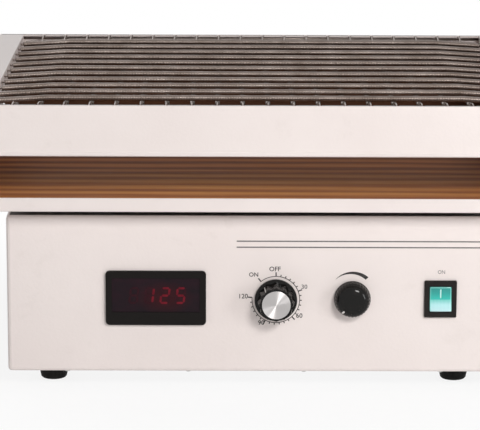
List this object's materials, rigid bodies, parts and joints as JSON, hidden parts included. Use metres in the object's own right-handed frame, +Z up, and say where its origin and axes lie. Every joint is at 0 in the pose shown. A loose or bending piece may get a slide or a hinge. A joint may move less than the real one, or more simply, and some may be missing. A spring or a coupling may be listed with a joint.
{
  "type": "reciprocating lab shaker",
  "caption": "Benchtop lab shaker: a spring-net tray over an open wooden-floored pan slides from side to side on a drive base with dial, knob, display and rocker switch.",
  "frame": {"origin": "centre of the footprint, on the bench", "axes": "+X to the right along the tray's travel, +Y to the rear, +Z up; the instrument panel faces -Y"},
  "size_m": [0.46, 0.3736, 0.2358],
  "materials": {
    "powder_coat": "warm white powder coat, fine orange peel, satin",
    "galvanised_sheet": "zinc-plated sheet, dull spangle",
    "foot_rubber": "moulded black rubber, matt",
    "belt_rubber": "black reinforced rubber",
    "black_phenolic": "glossy moulded phenolic",
    "black_plastic": "black nylon, fine satin texture",
    "display_filter": "dark red filter, glossy",
    "spun_aluminium": "spun-cut face with fine rings",
    "lit_green": "translucent green, lit from inside",
    "varnished_wood": "varnished red-brown board, grain from side to side",
    "spring_steel": "close-wound spring wire, slightly oxidised",
    "ground_steel": "ground and polished steel",
    "cast_aluminium": "machined casting, matt",
    "circuit_board": "green solder mask",
    "motor_enamel": "dark grey-blue enamel"
  },
  "bodies": {
    "base": {"base_case": "powder_coat", "bottom_plate": "galvanised_sheet", "rear_panel": "powder_coat", "foot_front_left": "foot_rubber", "foot_front_right": "foot_rubber", "foot_rear_left": "foot_rubber", "foot_rear_right": "foot_rubber", "power_inlet": "black_plastic", "display_window": "display_filter", "display_module": "black_plastic", "timer_body": "cast_aluminium", "speed_pot": "cast_aluminium", "switch_housing": "black_plastic", "guide_rod_front": "ground_steel", "guide_rod_rear": "ground_steel", "rod_support_left": "cast_aluminium", "rod_support_right": "cast_aluminium", "crank_bearing": "cast_aluminium", "motor": "motor_enamel", "drive_belt": "belt_rubber", "control_board": "circuit_board"},
    "tray": {"tray_pan": "powder_coat", "floor_board": "varnished_wood", "rear_board": "varnished_wood", "frame_front": "powder_coat", "frame_rear": "powder_coat", "side_panel_left": "powder_coat", "side_panel_right": "powder_coat", "cross_spring_net": "spring_steel", "long_spring_01": "spring_steel", "long_spring_02": "spring_steel", "long_spring_03": "spring_steel", "long_spring_04": "spring_steel", "long_spring_05": "spring_steel", "long_spring_06": "spring_steel", "long_spring_07": "spring_steel", "long_spring_08": "spring_steel", "long_spring_09": "spring_steel", "long_spring_10": "spring_steel", "long_spring_11": "spring_steel", "long_spring_12": "spring_steel", "long_spring_13": "spring_steel", "bearing_block_left_front": "cast_aluminium", "bearing_block_left_rear": "cast_aluminium", "bearing_block_right_front": "cast_aluminium", "bearing_block_right_rear": "cast_aluminium", "slide_plate": "galvanised_sheet", "standoff_left_front": "ground_steel", "standoff_left_rear": "ground_steel", "standoff_right_front": "ground_steel", "standoff_right_rear": "ground_steel", "yoke_bracket": "cast_aluminium"},
    "crank": {"crank_wheel": "cast_aluminium", "crank_shaft": "ground_steel"},
    "motor_shaft": {"motor_pulley": "cast_aluminium"},
    "timer_dial": {"timer_knob": "black_phenolic", "timer_cap": "spun_aluminium", "timer_shaft": "ground_steel"},
    "speed_dial": {"speed_knob": "black_phenolic"},
    "switch_rocker": {"rocker": "lit_green"}
  },
  "joints": [
    {"name": "tray_slide", "type": "slide", "parent": "base", "child": "tray", "axis": [1, 0, 0], "range_m": [-0.01, 0.01]},
    {"name": "crank_turn", "type": "hinge", "parent": "base", "child": "crank", "pos_m": [0, 0, 0.07], "axis": [0, 0, 1], "range_deg": [-90.5, 90.5]},
    {"name": "motor_turn", "type": "hinge", "parent": "base", "child": "motor_shaft", "pos_m": [-0.095, 0, 0.07], "axis": [0, 0, 1], "range_deg": [-271.5, 271.5]},
    {"name": "timer_turn", "type": "hinge", "parent": "base", "child": "timer_dial", "pos_m": [0.01706, -0.167, 0.07401], "axis": [0, 1, 0], "range_deg": [0, 314]},
    {"name": "speed_turn", "type": "hinge", "parent": "base", "child": "speed_dial", "pos_m": [0.07805, -0.167, 0.075], "axis": [0, 1, 0], "range_deg": [0, 270]},
    {"name": "rocker_tilt", "type": "hinge", "parent": "base", "child": "switch_rocker", "pos_m": [0.1484, -0.1675, 0.07509], "axis": [1, 0, 0], "range_deg": [0, 22]}
  ],
  "couplings": [
    {"joint": "crank_turn", "follows": "tray_slide", "rad_per_m": 157.08},
    {"joint": "motor_turn", "follows": "tray_slide", "rad_per_m": 471.24}
  ]
}
